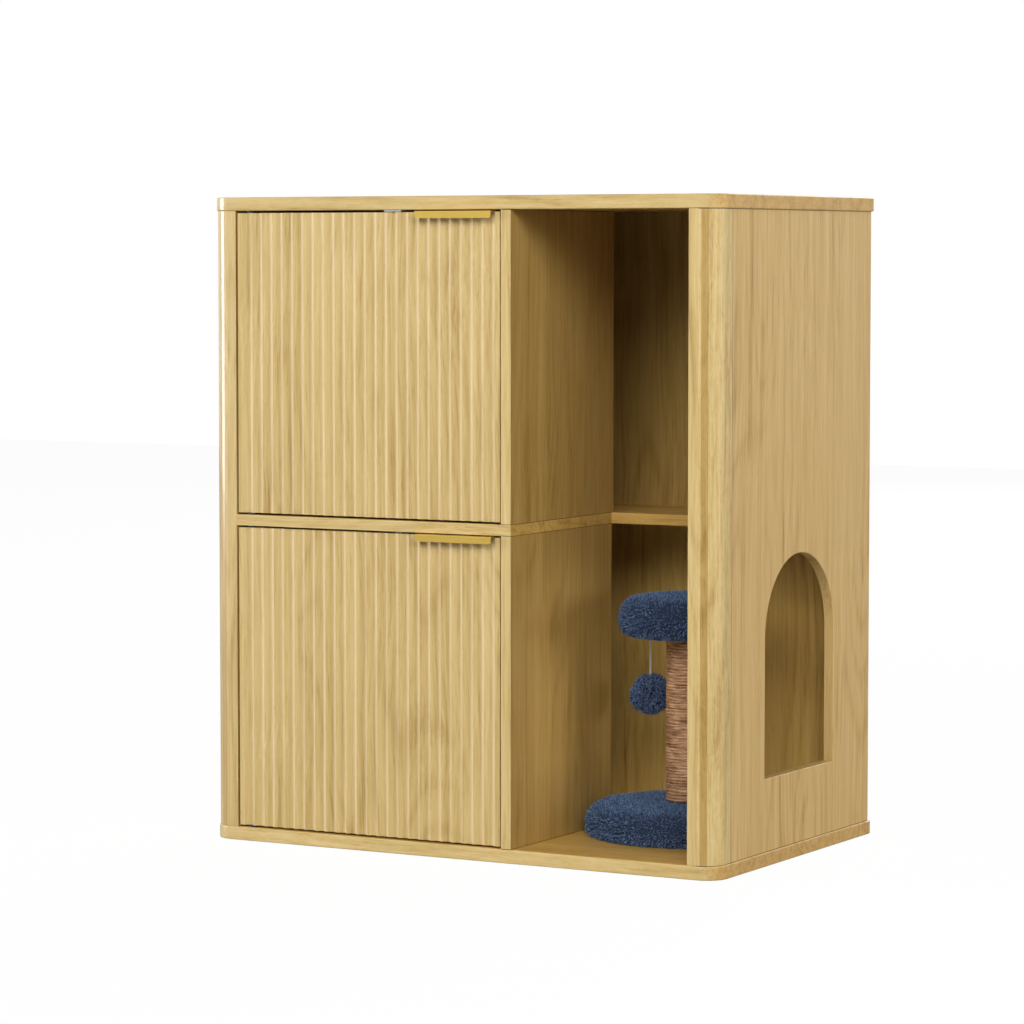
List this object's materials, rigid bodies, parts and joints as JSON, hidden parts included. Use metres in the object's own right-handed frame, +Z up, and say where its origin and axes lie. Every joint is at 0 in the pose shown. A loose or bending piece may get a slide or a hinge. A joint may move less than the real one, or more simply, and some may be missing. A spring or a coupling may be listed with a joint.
{
  "type": "cat litter box cabinet",
  "caption": "Wooden cabinet with fluted doors, an open bay with a small cat tree and toy, and an arched cat door in its side that leads to a hidden litter compartment.",
  "frame": {"origin": "centre of the bottom panel's underside, on the floor", "axes": "+Z up, +X to the right along the front, +Y from the doors to the back wall"},
  "size_m": [0.795, 0.5003, 0.9],
  "materials": {
    "oak_laminate": "light oak grain, satin",
    "plain_board": "raw wood",
    "card_tube": "raw card",
    "gold_metal": "gold, satin",
    "zinc_steel": "zinc plated",
    "grey_plastic": "matte",
    "black_nylon": "matte",
    "ferrite": "sintered",
    "navy_plush": "dense curly pile",
    "brown_rope": "wound fibre rope",
    "white_string": "twisted string",
    "navy_yarn": "short yarn pile"
  },
  "bodies": {
    "cabinet": {"top_panel": "oak_laminate", "bottom_panel": "oak_laminate", "left_side_panel": "oak_laminate", "right_side_panel": "oak_laminate", "left_corner_post": "oak_laminate", "right_corner_post": "oak_laminate", "left_front_stile": "oak_laminate", "right_front_stile": "oak_laminate", "upper_divider": "oak_laminate", "lower_divider": "oak_laminate", "middle_shelf": "oak_laminate", "upper_back_panel": "oak_laminate", "lower_back_panel": "oak_laminate", "wood_dowels": "plain_board", "shelf_through_dowels": "plain_board", "tree_base_board": "plain_board", "perch_board": "plain_board", "pole_end_plugs": "plain_board", "pole_core_tube": "card_tube", "catch_pole_plates": "zinc_steel", "catch_screws": "zinc_steel", "cam_bolts": "zinc_steel", "cam_nuts": "zinc_steel", "tree_anchor_bolt": "zinc_steel", "perch_bolt": "zinc_steel", "toy_screw_eye": "zinc_steel", "upper_catch_housing": "grey_plastic", "lower_catch_housing": "grey_plastic", "upper_catch_lip": "grey_plastic", "hinge_bushings": "black_nylon", "catch_magnets": "ferrite", "tree_base_cover": "navy_plush", "perch_cover": "navy_plush", "sisal_winding": "brown_rope"},
    "upper_door_leaf": {"upper_door": "oak_laminate", "upper_door_pull": "gold_metal", "upper_pull_screws": "zinc_steel", "upper_hinge_pins": "zinc_steel", "upper_strike_plate": "zinc_steel", "upper_strike_screws": "zinc_steel"},
    "lower_door_leaf": {"lower_door": "oak_laminate", "lower_door_pull": "gold_metal", "lower_pull_screws": "zinc_steel", "lower_hinge_pins": "zinc_steel", "lower_strike_plate": "zinc_steel", "lower_strike_screws": "zinc_steel"},
    "toy_ring": {"toy_link_ring": "zinc_steel"},
    "toy": {"toy_knot": "white_string", "toy_cord": "white_string", "toy_pompom": "navy_yarn"}
  },
  "joints": [
    {"name": "upper_door_hinge", "type": "hinge", "parent": "cabinet", "child": "upper_door_leaf", "pos_m": [-0.332, -0.235, 0.66975], "axis": [0, 0, -1], "range_deg": [0, 110]},
    {"name": "lower_door_hinge", "type": "hinge", "parent": "cabinet", "child": "lower_door_leaf", "pos_m": [-0.332, -0.235, 0.23125], "axis": [0, 0, -1], "range_deg": [0, 110]},
    {"name": "toy_swing_out", "type": "hinge", "parent": "cabinet", "child": "toy_ring", "pos_m": [0.15994, 0.02303, 0.2957], "axis": [0.2521, 0.9677, 0], "range_deg": [-5, 22]},
    {"name": "toy_swing_along", "type": "hinge", "parent": "toy_ring", "child": "toy", "pos_m": [0.15994, 0.02303, 0.2912], "axis": [-0.9677, 0.2521, 0], "range_deg": [-45, 45]}
  ]
}
